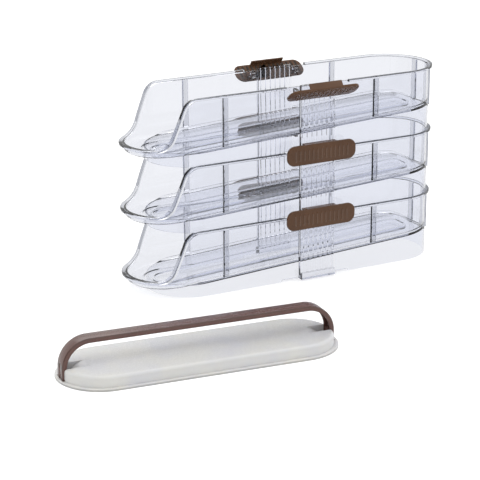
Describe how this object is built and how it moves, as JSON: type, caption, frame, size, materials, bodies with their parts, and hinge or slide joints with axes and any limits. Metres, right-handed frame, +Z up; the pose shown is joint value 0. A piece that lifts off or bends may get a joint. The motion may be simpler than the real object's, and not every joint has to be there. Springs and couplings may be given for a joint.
{
  "type": "tiered egg tray",
  "caption": "Stack of clear egg trays with sloping floors, scooped open fronts and hinged side clips, beside an oblong lid with a raised carrying handle.",
  "frame": {"origin": "middle of the ground that the stack and the lid beside it cover, on the surface they stand on", "axes": "+X from the open front of the trays to their closed rear end, +Z up; the lid is on the -Y side"},
  "size_m": [0.538, 0.3304, 0.2237],
  "materials": {
    "clear_plastic": "clear polished moulding with a faint cool tint",
    "brown_plastic": "satin brown moulding, grooved on its inner face",
    "lid_plastic": "milky off-white moulding",
    "handle_plastic": "satin mauve-brown moulding"
  },
  "bodies": {
    "stack": {"tray_bottom": "clear_plastic", "tray_middle": "clear_plastic", "tray_top": "clear_plastic"},
    "clip_bottom_near": {"clip_bottom_near": "brown_plastic"},
    "clip_bottom_far": {"clip_bottom_far": "brown_plastic"},
    "clip_middle_near": {"clip_middle_near": "brown_plastic"},
    "clip_middle_far": {"clip_middle_far": "brown_plastic"},
    "clip_top_near": {"clip_top_near": "brown_plastic"},
    "clip_top_far": {"clip_top_far": "brown_plastic"},
    "lid": {"lid": "lid_plastic"},
    "handle": {"handle": "handle_plastic"}
  },
  "joints": [
    {"name": "clip_bottom_near_hinge", "type": "hinge", "parent": "stack", "child": "clip_bottom_near", "pos_m": [0.10033, 0.04331, 0.067], "axis": [1, 0, 0], "range_deg": [0, 52]},
    {"name": "clip_bottom_far_hinge", "type": "hinge", "parent": "stack", "child": "clip_bottom_far", "pos_m": [0.10033, 0.14932, 0.067], "axis": [-1, 0, 0], "range_deg": [0, 52]},
    {"name": "clip_middle_near_hinge", "type": "hinge", "parent": "stack", "child": "clip_middle_near", "pos_m": [0.10033, 0.04331, 0.1394], "axis": [1, 0, 0], "range_deg": [0, 52]},
    {"name": "clip_middle_far_hinge", "type": "hinge", "parent": "stack", "child": "clip_middle_far", "pos_m": [0.10033, 0.14932, 0.1394], "axis": [-1, 0, 0], "range_deg": [0, 52]},
    {"name": "clip_top_near_hinge", "type": "hinge", "parent": "stack", "child": "clip_top_near", "pos_m": [0.10033, 0.04331, 0.2118], "axis": [1, 0, 0], "range_deg": [-52, 0]},
    {"name": "clip_top_far_hinge", "type": "hinge", "parent": "stack", "child": "clip_top_far", "pos_m": [0.10033, 0.14932, 0.2118], "axis": [-1, 0, 0], "range_deg": [-52, 0]},
    {"name": "lid_lift", "type": "slide", "parent": "stack", "child": "lid", "axis": [0, 0, 1], "range_m": [0, 0.2172]},
    {"name": "handle_slide", "type": "slide", "parent": "lid", "child": "handle", "axis": [0, 0, 1], "range_m": [-0.0225, 0]}
  ]
}
